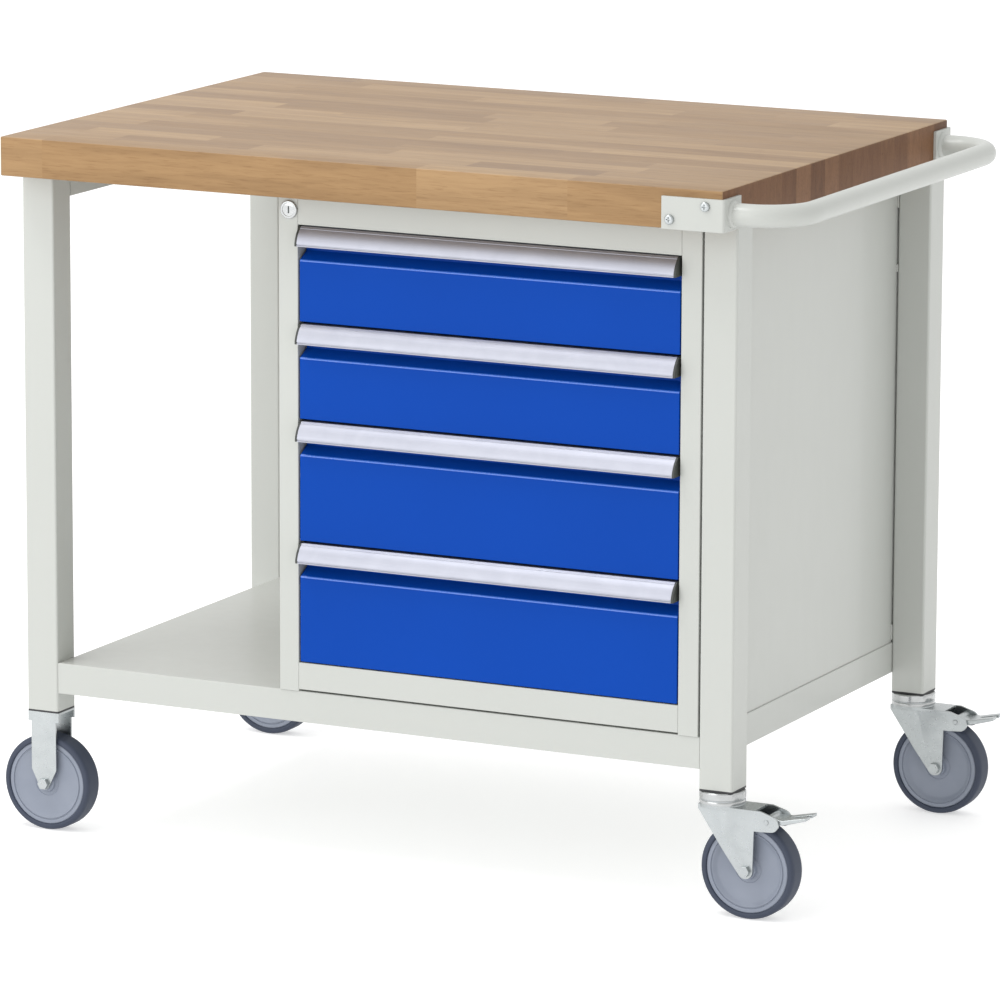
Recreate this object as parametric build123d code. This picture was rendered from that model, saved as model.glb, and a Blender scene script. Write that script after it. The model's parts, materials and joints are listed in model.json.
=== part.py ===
"""Mobile workbench: a beech worktop on four tube legs, with a sheet-steel shelf, a drawer
cabinet under the right-hand part, a push handle on the right-hand end and four casters.

Frame: X runs along the bench with the push handle at +X, Y runs from the drawer fronts (-Y) to
the back, Z is up from the floor. The origin is the centre of the whole bench's footprint.
"""
from build123d import *
import os

os.makedirs("parts", exist_ok=True)

# ---------------------------------------------------------------- driving dimensions, mm
TOP_LENGTH = 1000.0
TOP_DEPTH = 700.0
TOP_THICKNESS = 50.0
TOP_EDGE_RADIUS = 2.0

CASTER_HEIGHT = 160.0
LEG_LENGTH = 700.0
LEG_X = 45.0
LEG_Y = 45.0
LEG_WALL = 2.0
LEG_END_INSET = 2.0
LEG_REAR_INSET = 1.0
FRONT_OVERHANG = 50.0
PLUG_FLANGE = 2.5
PLUG_DEPTH = 30.0
PLUG_CLEARANCE = 0.2

RAIL_HEIGHT = 35.0
RAIL_WIDTH = 25.0
RAIL_WALL = 1.5

SHELF_TOP = 224.5
SHELF_FLANGE = 40.0
SHELF_SHEET = 1.5
SHELF_FRONT_RECESS = 1.5
SHELF_EDGE_RADIUS = 1.4

CABINET_WIDTH = 580.0
CABINET_LEG_GAP = 2.0
CABINET_LEG_OVERLAP = 14.0
CABINET_SHEET = 1.5
TAB_HEIGHTS = ((798.0, 822.0), (714.0, 724.0), (228.0, 248.0))
POST_WIDTH = 27.0
POST_DEPTH = 25.0
TOP_RAIL_HEIGHT = 40.5
BOTTOM_RAIL_HEIGHT = 34.5
BOTTOM_GAP = 2.5
FRAME_EDGE_RADIUS = 1.0

SMALL_PITCH = 123.5
LARGE_PITCH = 155.5
FRONT_GAP = 3.0
FRONT_SIDE_GAP = 2.0
FRONT_RECESS = 1.0
FRONT_SHEET = 1.5
FRONT_BACK_Y = 26.0
GRIP_HEIGHT = 24.0
GRIP_REACH = 13.0
GRIP_BACK_Y = 19.0
GRIP_WALL = 2.0
GRIP_CAP = 3.0
POCKET_HEIGHT = 19.0
SLOPE_RISE = 10.0
BOX_SHEET = 1.5
BOX_LENGTH = 540.0
BOX_RAISE = 12.0
BOX_DROP = 29.0
SLIDE_SPACE = 13.0

RUNNER_LENGTH = 550.0
RUNNER_HEIGHT = 14.0
RUNNER_WALL = 1.5
RUNNER_CLEARANCE = 0.5

LOCK_Z = 837.8
LOCK_SHIFT = 1.8
LOCK_ROSETTE_RADIUS = 11.5
LOCK_BARREL_RADIUS = 8.4
LOCK_CLEARANCE = 0.05
LOCK_PROUD = 3.0
CAM_LENGTH = 20.0
CAM_WIDTH = 12.0
CAM_SHEET = 2.0

HANDLE_TUBE = 28.0
HANDLE_WALL = 2.0
HANDLE_REACH = 82.0
HANDLE_BEND = 60.0
HANDLE_Z = 879.5
BRACKET_LENGTH = 79.0
BRACKET_HEIGHT = 40.0
BRACKET_SHEET = 4.0
BRACKET_WING = 46.0
BRACKET_SCREWS = ((68.0, 872.0), (21.0, 890.5))
SCREW_HEAD_RADIUS = 6.0
SCREW_HEAD_HEIGHT = 3.6
SCREW_RADIUS = 3.0
SCREW_LENGTH = 24.0
SCREW_CLEARANCE = 0.1

WHEEL_RADIUS = 62.5
RIM_RADIUS = 54.5
TYRE_WIDTH = 32.0
HUB_HALF_BOSS = 17.5
AXLE_RADIUS = 4.0
AXLE_CLEARANCE = 0.05
FORK_GAP = 18.0
FORK_SHEET = 3.0
BOLT_FLATS = 13.0
BOLT_HEAD = 5.0
STEM_RADIUS = 6.0
STEM_LENGTH = 34.0
FIXED_CHEEK_WIDTH = 36.0
FIXED_SHOULDER_HEIGHT = 13.0
FIXED_WAIST_Z = 81.0
FIXED_TIP_RADIUS = 8.0
SWIVEL_OFFSET = 40.0
SWIVEL_FRONT_X = -26.0
SWIVEL_RIDGE_X = 10.0
SWIVEL_NECK_HALF = 16.0
SWIVEL_REAR_X = 52.0
SWIVEL_CROWN_Z = 140.0
SWIVEL_TIP_RADIUS = 10.0
EAR_BASE_Z = 114.0
EAR_RADIUS = 10.0
RACE_RADIUS = 29.0
RACE_GAP_Z = (148.0, 148.3)
KING_PIN_Z = 132.0
KING_PIN_HEAD = (10.0, 4.7)
BRAKE_PIVOT_X = 68.0
BRAKE_PIVOT_Z = 127.0
BRAKE_PIN_RADIUS = 3.0
LEVER_BLADE = ((72, 122), (90, 125), (119, 133), (119, 137), (88, 130.5), (70, 131))
LEVER_BOSS_RADIUS = 6.8
TONGUE_GAP = 4.0
TONGUE_START_X = 95.0

# ---------------------------------------------------------------- derived places
top_z = CASTER_HEIGHT + LEG_LENGTH
left_leg = -(TOP_LENGTH / 2 - LEG_END_INSET - LEG_X / 2)
right_leg = -left_leg
front_y = -TOP_DEPTH / 2 + FRONT_OVERHANG
front_leg = front_y + LEG_Y / 2
rear_leg = TOP_DEPTH / 2 - LEG_REAR_INSET - LEG_Y / 2
inner_x = right_leg - LEG_X / 2

cabinet_right = inner_x - CABINET_LEG_GAP
cabinet_left = cabinet_right - CABINET_WIDTH
cabinet_rear = rear_leg - LEG_Y / 2 + CABINET_LEG_OVERLAP
opening_left = cabinet_left + POST_WIDTH
opening_right = cabinet_right - POST_WIDTH
opening_top = top_z - TOP_RAIL_HEIGHT
post_back = front_y + POST_DEPTH

handle_x = TOP_LENGTH / 2 + HANDLE_REACH
handle_y = TOP_DEPTH / 2 - BRACKET_WING / 2

lowest_x = left_leg - WHEEL_RADIUS
highest_x = handle_x + HANDLE_TUBE / 2
to_origin = Pos(-(lowest_x + highest_x) / 2, 0, 0)

AXIS_Y = Rot(90, 0, 0)


# ---------------------------------------------------------------- helpers
def block(x, y, z):
    """Box between three pairs of limits."""
    spans = (x, y, z)
    size = [high - low for low, high in spans]
    centre = [(high + low) / 2 for low, high in spans]
    return Pos(*centre) * Box(*size)


def shrink(span, amount):
    """The span with the same amount taken off both ends."""
    return (span[0] + amount, span[1] - amount)


def tube_x(x, y, z, wall):
    """Rectangular tube along X."""
    return block(x, y, z) - block((x[0] - 1, x[1] + 1), shrink(y, wall), shrink(z, wall))


def tube_y(x, y, z, wall):
    """Rectangular tube along Y."""
    return block(x, y, z) - block(shrink(x, wall), (y[0] - 1, y[1] + 1), shrink(z, wall))


def tube_z(x, y, z, wall, radius):
    """Rectangular tube along Z with rounded outer corners."""
    outer = block(x, y, z)
    outer = fillet(outer.edges().filter_by(Axis.Z), radius)
    return outer - block(shrink(x, wall), shrink(y, wall), (z[0] - 1, z[1] + 1))


def rod_y(x, y, z, radius):
    """Round bar along Y between two limits."""
    return Pos(x, (y[0] + y[1]) / 2, z) * AXIS_Y * Cylinder(radius, y[1] - y[0])


def rod_z(x, y, z, radius):
    """Round bar along Z between two limits."""
    return Pos(x, y, (z[0] + z[1]) / 2) * Cylinder(radius, z[1] - z[0])


def plate_xz(outline, y):
    """Flat plate cut to an outline drawn in X and Z, between two Y limits."""
    face = Plane.XZ * outline
    return Pos(0, y[1], 0) * extrude(face, y[1] - y[0], dir=(0, -1, 0))


def profile_yz(outline, x):
    """Length of a section drawn in Y and Z, between two X limits."""
    face = Plane.YZ * outline
    return Pos(x[0], 0, 0) * extrude(face, x[1] - x[0], dir=(1, 0, 0))


def save(node, *solids):
    """Write one node: a single solid or a group of like solids."""
    shape = solids[0] if len(solids) == 1 else Compound(list(solids))
    export_step(to_origin * shape, f"parts/{node}.step")


# ---------------------------------------------------------------- worktop, legs and rails
def bracket_screw_places():
    """X, Z and outward direction in Y of each bracket screw."""
    return [(TOP_LENGTH / 2 - back, z, side) for side in (-1, 1) for back, z in BRACKET_SCREWS]


def worktop():
    """Solid laminated beech slab with eased edges and pilot holes for the bracket screws."""
    x = (-TOP_LENGTH / 2, TOP_LENGTH / 2)
    y = (-TOP_DEPTH / 2, TOP_DEPTH / 2)
    slab = block(x, y, (top_z, top_z + TOP_THICKNESS))
    slab = fillet(slab.edges(), TOP_EDGE_RADIUS)
    for screw_x, z, side in bracket_screw_places():
        span = sorted((side * (TOP_DEPTH / 2 + 1), side * (TOP_DEPTH / 2 - SCREW_LENGTH)))
        slab -= rod_y(screw_x, span, z, SCREW_RADIUS + SCREW_CLEARANCE)
    return slab


def leg(x, y):
    """Upright steel tube with rounded corners."""
    spans = (x - LEG_X / 2, x + LEG_X / 2), (y - LEG_Y / 2, y + LEG_Y / 2)
    return tube_z(*spans, (CASTER_HEIGHT, top_z), LEG_WALL, 3.0)


def leg_plug(x, y):
    """Plastic insert in the foot of a leg, bored for the caster stem."""
    base = CASTER_HEIGHT - PLUG_FLANGE
    flange = block((x - LEG_X / 2, x + LEG_X / 2), (y - LEG_Y / 2, y + LEG_Y / 2), (base, CASTER_HEIGHT))
    flange = fillet(flange.edges().filter_by(Axis.Z), 3.0)
    half_x = LEG_X / 2 - LEG_WALL - PLUG_CLEARANCE
    half_y = LEG_Y / 2 - LEG_WALL - PLUG_CLEARANCE
    body = block((x - half_x, x + half_x), (y - half_y, y + half_y), (base, CASTER_HEIGHT + PLUG_DEPTH))
    bore = rod_z(x, y, (base - 1, CASTER_HEIGHT + PLUG_DEPTH + 1), STEM_RADIUS + AXLE_CLEARANCE)
    return flange + body - bore


leg_places = {
    "front_left": (left_leg, front_leg),
    "front_right": (right_leg, front_leg),
    "rear_left": (left_leg, rear_leg),
    "rear_right": (right_leg, rear_leg),
}
save("worktop", worktop())
for place, centre in leg_places.items():
    save(f"leg_{place}", leg(*centre))
save("leg_plugs", *[leg_plug(*centre) for centre in leg_places.values()])

rail_z = (top_z - RAIL_HEIGHT, top_z)
between_legs_y = (front_leg + LEG_Y / 2, rear_leg - LEG_Y / 2)
rear_face = rear_leg + LEG_Y / 2
save("left_top_rail", tube_y((-inner_x - RAIL_WIDTH, -inner_x), between_legs_y, rail_z, RAIL_WALL))
save("rear_top_rail", tube_x((-inner_x, inner_x), (rear_face - RAIL_WIDTH, rear_face), rail_z, RAIL_WALL))


# ---------------------------------------------------------------- shelf
def shelf_tray():
    """Folded sheet tray, open underneath, with its top edges rounded by the press brake."""
    x = (-inner_x, inner_x)
    y = (front_y + SHELF_FRONT_RECESS, rear_face - SHELF_FRONT_RECESS)
    z = (SHELF_TOP - SHELF_FLANGE, SHELF_TOP)
    tray = block(x, y, z)
    tray = fillet(tray.faces().sort_by(Axis.Z)[-1].edges(), SHELF_EDGE_RADIUS)
    return tray - block(shrink(x, SHELF_SHEET), shrink(y, SHELF_SHEET), (z[0] - 1, z[1] - SHELF_SHEET))


save("shelf_tray", shelf_tray())


# ---------------------------------------------------------------- cabinet carcass
def post(x):
    """Upright of the cabinet's front frame."""
    return tube_z(x, (front_y, post_back), (SHELF_TOP, top_z), RAIL_WALL, FRAME_EDGE_RADIUS)


lock_x = cabinet_left + POST_WIDTH / 2 + LOCK_SHIFT
opening_x = (opening_left, opening_right)
post_y = (front_y, post_back)
left_post = post((cabinet_left, opening_left))
left_post -= rod_y(lock_x, (front_y - 1, post_back + 1), LOCK_Z, LOCK_BARREL_RADIUS + 0.4)
save("cabinet_post_left", left_post)
save("cabinet_post_right", post((opening_right, cabinet_right)))
save("cabinet_top_rail", tube_x(opening_x, post_y, (opening_top, top_z), RAIL_WALL))
bottom_rail_base = SHELF_TOP + BOTTOM_GAP
bottom_rail_z = (bottom_rail_base, bottom_rail_base + BOTTOM_RAIL_HEIGHT)
save("cabinet_bottom_rail", tube_x(opening_x, post_y, bottom_rail_z, RAIL_WALL))

panel_y = (post_back, cabinet_rear)
panel_z = (SHELF_TOP, top_z)
save("cabinet_side_left", block((cabinet_left, cabinet_left + CABINET_SHEET), panel_y, panel_z))
save("cabinet_side_right", block((cabinet_right - CABINET_SHEET, cabinet_right), panel_y, panel_z))
back_x = (cabinet_left + CABINET_SHEET, cabinet_right - CABINET_SHEET)
save("cabinet_back", block(back_x, (cabinet_rear - CABINET_SHEET, cabinet_rear), panel_z))

tab_x = (cabinet_right, inner_x)
tab_y = (cabinet_rear - CABINET_LEG_OVERLAP, cabinet_rear)
save("cabinet_tabs", *[block(tab_x, tab_y, span) for span in TAB_HEIGHTS])


# ---------------------------------------------------------------- lock
def lock_rosette():
    """Pressed ring round the lock barrel."""
    y = (front_y - LOCK_PROUD, front_y)
    ring = rod_y(lock_x, y, LOCK_Z, LOCK_ROSETTE_RADIUS)
    ring = fillet(ring.edges().sort_by(Axis.Y)[0], 1.2)
    return ring - rod_y(lock_x, (y[0] - 1, y[1] + 1), LOCK_Z, LOCK_BARREL_RADIUS + LOCK_CLEARANCE)


def lock_barrel():
    """Turning barrel with a key slot in front and a cam behind the post."""
    cam_front = post_back + CAM_SHEET
    barrel = rod_y(lock_x, (front_y - LOCK_PROUD + 0.6, cam_front), LOCK_Z, LOCK_BARREL_RADIUS)
    slot_y = (front_y - LOCK_PROUD, front_y + 2)
    barrel -= block((lock_x - 1, lock_x + 1), slot_y, (LOCK_Z - 4.5, LOCK_Z + 4.5))
    cam_x = (lock_x - CAM_WIDTH / 2, lock_x + CAM_WIDTH / 2)
    return barrel + block(cam_x, (cam_front, cam_front + CAM_SHEET), (LOCK_Z - 6, LOCK_Z + CAM_LENGTH))


save("lock_rosette", lock_rosette())
save("lock_barrel", lock_barrel())

# ---------------------------------------------------------------- drawers
box_x = (opening_left + SLIDE_SPACE, opening_right - SLIDE_SPACE)
front_x = shrink(opening_x, FRONT_SIDE_GAP)
grip_x = shrink(front_x, GRIP_CAP)
face_y = front_y + FRONT_RECESS
seat_y = front_y + GRIP_BACK_Y
box_front = front_y + FRONT_BACK_Y


def front_outline(base, top, skin):
    """Section of a drawer front: flat face, finger pocket under the grip, seat behind the grip."""
    crease = top - GRIP_HEIGHT - POCKET_HEIGHT
    run = seat_y - face_y
    slant = (run**2 + SLOPE_RISE**2) ** 0.5
    drop = skin * (slant - SLOPE_RISE) / run
    return Polygon(
        (box_front + skin, base + skin),
        (face_y + skin, base + skin),
        (face_y + skin, crease - drop),
        (seat_y + skin, crease + SLOPE_RISE - drop),
        (seat_y + skin, top - skin),
        (box_front + skin, top - skin),
        align=None,
    )


def drawer_front(base, top):
    """Folded steel front, open at the back."""
    shell = profile_yz(front_outline(base, top, 0), front_x)
    return shell - profile_yz(front_outline(base, top, FRONT_SHEET), shrink(front_x, FRONT_SHEET))


def grip_outline(top, skin):
    """Section of the grip: flat on top, bulging forward to the lip."""
    corner = (front_y + 0.2 * skin, top - skin)
    lip = front_y - GRIP_REACH + skin
    low = top - GRIP_HEIGHT - (1 if skin else 0)
    back = seat_y - skin
    with BuildSketch() as section:
        with BuildLine():
            Line((back, low), (back, top - skin))
            Line((back, top - skin), corner)
            ThreePointArc(corner, (front_y - 8 + 0.8 * skin, top - 8.5 - 0.6 * skin), (lip, top - 20))
            Line((lip, top - 20), (lip, low))
            Line((lip, low), (back, low))
        make_face()
    return section.sketch


def drawer_grip(top):
    """Aluminium grip profile, open underneath for the fingers."""
    return profile_yz(grip_outline(top, 0), grip_x) - profile_yz(
        grip_outline(top, GRIP_WALL), (grip_x[0] - 1, grip_x[1] + 1)
    )


def drawer_box(base, top):
    """Open sheet-steel box behind the front."""
    z = (base + BOX_RAISE, top - BOX_DROP)
    y = (box_front, box_front + BOX_LENGTH)
    hollow = block(shrink(box_x, BOX_SHEET), shrink(y, BOX_SHEET), (z[0] + BOX_SHEET, z[1] + 1))
    return block(box_x, y, z) - hollow


def runner_level(base, top):
    """Height of the face between the fixed and the moving runner."""
    return (base + top) / 2


pitches = (SMALL_PITCH, SMALL_PITCH, LARGE_PITCH, LARGE_PITCH)
drawer_spans = []
reached = opening_top - FRONT_GAP / 2
for pitch in pitches:
    drawer_spans.append((reached - pitch + FRONT_GAP, reached))
    reached -= pitch

fixed_runners = []
runner_y = (box_front + 10, box_front + 10 + RUNNER_LENGTH)
for base, top in drawer_spans:
    level = runner_level(base, top)
    runner_z = (level - RUNNER_HEIGHT, level)
    left_span = (cabinet_left + CABINET_SHEET, box_x[0] - 3.5)
    right_span = (box_x[1] + 3.5, cabinet_right - CABINET_SHEET)
    for span in (left_span, right_span):
        fixed_runners.append(tube_y(span, runner_y, runner_z, RUNNER_WALL))
save("cabinet_runners", *fixed_runners)

for number, (base, top) in enumerate(drawer_spans, start=1):
    level = runner_level(base, top) + RUNNER_CLEARANCE
    slide_y = (box_front + 1, box_front + BOX_LENGTH)
    slide_z = (level, level + 12)
    slides = [
        tube_y((opening_left + 1, box_x[0]), slide_y, slide_z, RUNNER_WALL),
        tube_y((box_x[1], opening_right - 1), slide_y, slide_z, RUNNER_WALL),
    ]
    caps = [
        profile_yz(grip_outline(top, 0), (front_x[0], grip_x[0])),
        profile_yz(grip_outline(top, 0), (grip_x[1], front_x[1])),
    ]
    save(f"drawer_{number}_box", drawer_box(base, top))
    save(f"drawer_{number}_front", drawer_front(base, top))
    save(f"drawer_{number}_grip", drawer_grip(top))
    save(f"drawer_{number}_grip_caps", *caps)
    save(f"drawer_{number}_slides", *slides)


# ---------------------------------------------------------------- push handle
def handle_bar(radius):
    """Round bar along the handle's centre line, from one bracket to the other."""
    start = TOP_LENGTH / 2 + BRACKET_SHEET
    bend_x = handle_x - HANDLE_BEND
    bend_y = handle_y - HANDLE_BEND
    out = Line((start, -handle_y, HANDLE_Z), (bend_x, -handle_y, HANDLE_Z))
    turn = TangentArc((bend_x, -handle_y, HANDLE_Z), (handle_x, -bend_y, HANDLE_Z), tangent=(1, 0, 0))
    along = Line((handle_x, -bend_y, HANDLE_Z), (handle_x, bend_y, HANDLE_Z))
    back = TangentArc((handle_x, bend_y, HANDLE_Z), (bend_x, handle_y, HANDLE_Z), tangent=(0, 1, 0))
    home = Line((bend_x, handle_y, HANDLE_Z), (start, handle_y, HANDLE_Z))
    path = Wire([out.edge(), turn.edge(), along.edge(), back.edge(), home.edge()])
    section = Plane(origin=(start, -handle_y, HANDLE_Z), z_dir=(1, 0, 0)) * Circle(radius)
    return sweep(section, path=path)


def corner_bracket(side):
    """Angle plate round one corner of the worktop, holding one end of the handle."""
    end = TOP_LENGTH / 2
    edge = side * TOP_DEPTH / 2
    outer = edge + side * BRACKET_SHEET
    z = (top_z, top_z + BRACKET_HEIGHT)
    face = block((end - BRACKET_LENGTH, end + BRACKET_SHEET), sorted((edge, outer)), z)
    wing = block((end, end + BRACKET_SHEET), sorted((edge - side * BRACKET_WING, outer)), z)
    plate = face + wing
    corner = plate.edges().filter_by(Axis.Z).sort_by_distance((end + BRACKET_SHEET, outer, top_z))[0]
    plate = fillet(corner, BRACKET_SHEET - 0.5)
    for back, screw_z in BRACKET_SCREWS:
        hole = sorted((edge - side, outer + side))
        plate -= rod_y(end - back, hole, screw_z, SCREW_RADIUS + SCREW_CLEARANCE)
    return plate


def pan_screw(x, z, side):
    """Pan-head screw with a cross recess, driven into the worktop's edge."""
    seat = side * (TOP_DEPTH / 2 + BRACKET_SHEET)
    crown = seat + side * SCREW_HEAD_HEIGHT
    head = rod_y(x, sorted((seat, crown)), z, SCREW_HEAD_RADIUS)
    rim = head.edges().sort_by(lambda edge: -side * edge.center().Y)[0]
    head = fillet(rim, 2.0)
    shank = rod_y(x, sorted((seat, side * (TOP_DEPTH / 2 - SCREW_LENGTH + 2))), z, SCREW_RADIUS)
    floor = crown - side * 2.2
    slot_y = sorted((floor, crown + side))
    cross = block((x - 3.2, x + 3.2), slot_y, (z - 0.6, z + 0.6))
    cross += block((x - 0.6, x + 0.6), slot_y, (z - 3.2, z + 3.2))
    return head + shank - cross


save("push_handle", handle_bar(HANDLE_TUBE / 2) - handle_bar(HANDLE_TUBE / 2 - HANDLE_WALL))
save("handle_brackets", corner_bracket(-1), corner_bracket(1))
save("bracket_screws", *[pan_screw(*place) for place in bracket_screw_places()])


# ---------------------------------------------------------------- casters
def ring_section(points, x, y):
    """Turned piece: a section of radius and width spun about the axle, which runs along Y."""
    section = Plane.XZ * Polygon(*points, align=None)
    spun = revolve(section, Axis.Z)
    return Pos(x, y, WHEEL_RADIUS) * AXIS_Y * spun


def hub(x, y, web):
    """Plastic wheel centre with a raised boss, a web and a rim under the tyre."""
    half = TYRE_WIDTH / 2 - 2
    bore = AXLE_RADIUS + AXLE_CLEARANCE
    outer = [(bore, HUB_HALF_BOSS), (12, HUB_HALF_BOSS), (14, web), (44, web), (47, half), (RIM_RADIUS, half)]
    mirrored = [(radius, -width) for radius, width in reversed(outer)]
    return ring_section(outer + mirrored, x, y)


def tyre(x, y):
    """Rubber tread with rounded shoulders, bonded over the rim."""
    half = TYRE_WIDTH / 2
    outer = [(RIM_RADIUS, half), (WHEEL_RADIUS - 4, half), (WHEEL_RADIUS - 1.2, half - 2)]
    outer += [(WHEEL_RADIUS, half - 5)]
    mirrored = [(radius, -width) for radius, width in reversed(outer)]
    return ring_section(outer + mirrored, x, y)


def hexagon_bar(x, y, z):
    """Hexagonal head or nut along Y."""
    face = Plane.XZ * RegularPolygon(BOLT_FLATS / 2, 6, major_radius=False)
    return Pos(x, y[1], z) * extrude(face, y[1] - y[0])


def axle_bolt(x, y):
    """Hexagon bolt and nut through the fork."""
    cheek = FORK_GAP + FORK_SHEET
    shank = rod_y(x, (y - cheek, y + cheek), WHEEL_RADIUS, AXLE_RADIUS)
    head = hexagon_bar(x, (y - cheek - BOLT_HEAD, y - cheek), WHEEL_RADIUS)
    nut = hexagon_bar(x, (y + cheek, y + cheek + BOLT_HEAD + 1), WHEEL_RADIUS)
    return shank + head + nut


def cheeks(outline, x, y):
    """The two parallel cheeks of a fork, cut to the same outline and drilled for the axle."""
    pair = None
    for side in (-1, 1):
        span = sorted((side * FORK_GAP, side * (FORK_GAP + FORK_SHEET)))
        cheek = Pos(x, y, 0) * plate_xz(outline, span)
        pair = cheek if pair is None else pair + cheek
    return pair


def fixed_fork(x, y):
    """Rigid fork: shouldered cheeks under a cover plate, with a stem into the leg."""
    crown_top = CASTER_HEIGHT - PLUG_FLANGE
    width = FORK_GAP + FORK_SHEET
    shoulder = Pos(0, crown_top - FIXED_SHOULDER_HEIGHT / 2) * Rectangle(LEG_X, FIXED_SHOULDER_HEIGHT)
    body_height = crown_top - FIXED_WAIST_Z
    body = Pos(0, FIXED_WAIST_Z + body_height / 2) * Rectangle(FIXED_CHEEK_WIDTH, body_height)
    waist = Pos(0, FIXED_WAIST_Z + 3) * Rectangle(FIXED_CHEEK_WIDTH, 6)
    tip = make_hull(waist.edges() + (Pos(0, WHEEL_RADIUS) * Circle(FIXED_TIP_RADIUS)).edges())
    fork = cheeks(shoulder + body + tip, x, y)
    fork += block((x - LEG_X / 2, x + LEG_X / 2), (y - width, y + width), (crown_top - FORK_SHEET, crown_top))
    fork += rod_z(x, y, (crown_top, crown_top + STEM_LENGTH), STEM_RADIUS)
    return fork - rod_y(x, (y - width - 1, y + width + 1), WHEEL_RADIUS, AXLE_RADIUS + AXLE_CLEARANCE)


def swivel_head(x, y):
    """Upper ball-race cup with the king pin below and the stem above."""
    crown_top = CASTER_HEIGHT - PLUG_FLANGE
    cup = rod_z(x, y, (RACE_GAP_Z[1], crown_top), RACE_RADIUS)
    cup = fillet(cup.edges().sort_by(Axis.Z)[-1], 2.0)
    pin = rod_z(x, y, (KING_PIN_Z, crown_top + STEM_LENGTH), STEM_RADIUS)
    head_radius, head_height = KING_PIN_HEAD
    return cup + pin + rod_z(x, y, (KING_PIN_Z, KING_PIN_Z + head_height), head_radius)


def swivel_plan(half, neck, rear):
    """Half plan of the swivel fork: straight at the rear, drawn in towards the neck in front."""
    return ((SWIVEL_FRONT_X, neck), (SWIVEL_RIDGE_X, half), (rear, half))


def swivel_cheeks(outline, rear):
    """Two cheeks cut to an outline, both bent inwards ahead of the ridge."""
    outer = swivel_plan(FORK_GAP + FORK_SHEET, SWIVEL_NECK_HALF, rear)
    inner = swivel_plan(FORK_GAP, SWIVEL_NECK_HALF - FORK_SHEET, rear)
    cut = plate_xz(outline, (-30.0, 30.0))
    pair = None
    for side in (-1, 1):
        loop = [(x, side * y) for x, y in outer + inner[::-1]]
        cheek = extrude(Polygon(*loop, align=None), SWIVEL_CROWN_Z, dir=(0, 0, 1)) & cut
        pair = cheek if pair is None else pair + cheek
    return pair


def swivel_fork(x, y):
    """Swivelling fork with the lower race ring, trailing towards +X, and ears for the brake."""
    width = FORK_GAP + FORK_SHEET
    crown_base = SWIVEL_CROWN_Z - FORK_SHEET
    brow_height = 2 * FORK_SHEET
    brow_place = Pos((SWIVEL_FRONT_X + SWIVEL_REAR_X) / 2, SWIVEL_CROWN_Z - brow_height / 2)
    brow = brow_place * Rectangle(SWIVEL_REAR_X - SWIVEL_FRONT_X, brow_height)
    blade = make_hull(brow.edges() + (Pos(SWIVEL_OFFSET, WHEEL_RADIUS) * Circle(SWIVEL_TIP_RADIUS)).edges())
    root_height = SWIVEL_CROWN_Z - EAR_BASE_Z
    root = Pos(SWIVEL_REAR_X, SWIVEL_CROWN_Z - root_height / 2) * Rectangle(15, root_height)
    ear_end = Pos(BRAKE_PIVOT_X + 6, BRAKE_PIVOT_Z - 2) * Circle(EAR_RADIUS)
    ear = make_hull(root.edges() + ear_end.edges())
    fork = swivel_cheeks(blade + ear, BRAKE_PIVOT_X + 30)
    half_plan = swivel_plan(width, SWIVEL_NECK_HALF, SWIVEL_REAR_X)
    crown = Polygon(*half_plan, *[(px, -py) for px, py in half_plan[::-1]], align=None)
    fork += Pos(0, 0, crown_base) * extrude(crown, FORK_SHEET, dir=(0, 0, 1))
    fork += rod_z(0, 0, (crown_base, RACE_GAP_Z[0]), RACE_RADIUS - 1)
    fork -= rod_z(0, 0, (crown_base - 1, RACE_GAP_Z[0] + 1), STEM_RADIUS + 0.08)
    across = (-width - 1, width + 1)
    fork -= rod_y(SWIVEL_OFFSET, across, WHEEL_RADIUS, AXLE_RADIUS + AXLE_CLEARANCE)
    fork -= rod_y(BRAKE_PIVOT_X, across, BRAKE_PIVOT_Z, BRAKE_PIN_RADIUS + AXLE_CLEARANCE)
    return Pos(x, y, 0) * fork


def brake_lever(x, y):
    """Foot lever on its pin, with two tongues reaching out behind the wheel."""
    half = FORK_GAP - 0.5
    lever = plate_xz(Polygon(*LEVER_BLADE, align=None), (-half, half))
    lever += rod_y(BRAKE_PIVOT_X, (-half, half), BRAKE_PIVOT_Z, LEVER_BOSS_RADIUS)
    lever -= block((TONGUE_START_X, TONGUE_START_X + 30), (-TONGUE_GAP, TONGUE_GAP), (115, 145))
    pin = half + FORK_SHEET + 1.5
    lever += rod_y(BRAKE_PIVOT_X, (-pin, pin), BRAKE_PIVOT_Z, BRAKE_PIN_RADIUS)
    return Pos(x, y, 0) * lever


fixed_places = {name: leg_places[name] for name in ("front_left", "rear_left")}
swivel_places = {name: leg_places[name] for name in ("front_right", "rear_right")}
save("fixed_forks", *[fixed_fork(*centre) for centre in fixed_places.values()])
save("fixed_axle_bolts", *[axle_bolt(*centre) for centre in fixed_places.values()])
for place, (x, y) in fixed_places.items():
    save(f"hub_{place}", hub(x, y, 12.5))
    save(f"tyre_{place}", tyre(x, y))

save("swivel_heads", *[swivel_head(*centre) for centre in swivel_places.values()])
for place, (x, y) in swivel_places.items():
    save(f"swivel_fork_{place}", swivel_fork(x, y))
    save(f"axle_bolt_{place}", axle_bolt(x + SWIVEL_OFFSET, y))
    save(f"hub_{place}", hub(x + SWIVEL_OFFSET, y, 8.5))
    save(f"tyre_{place}", tyre(x + SWIVEL_OFFSET, y))
    save(f"brake_lever_{place}", brake_lever(x, y))
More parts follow.
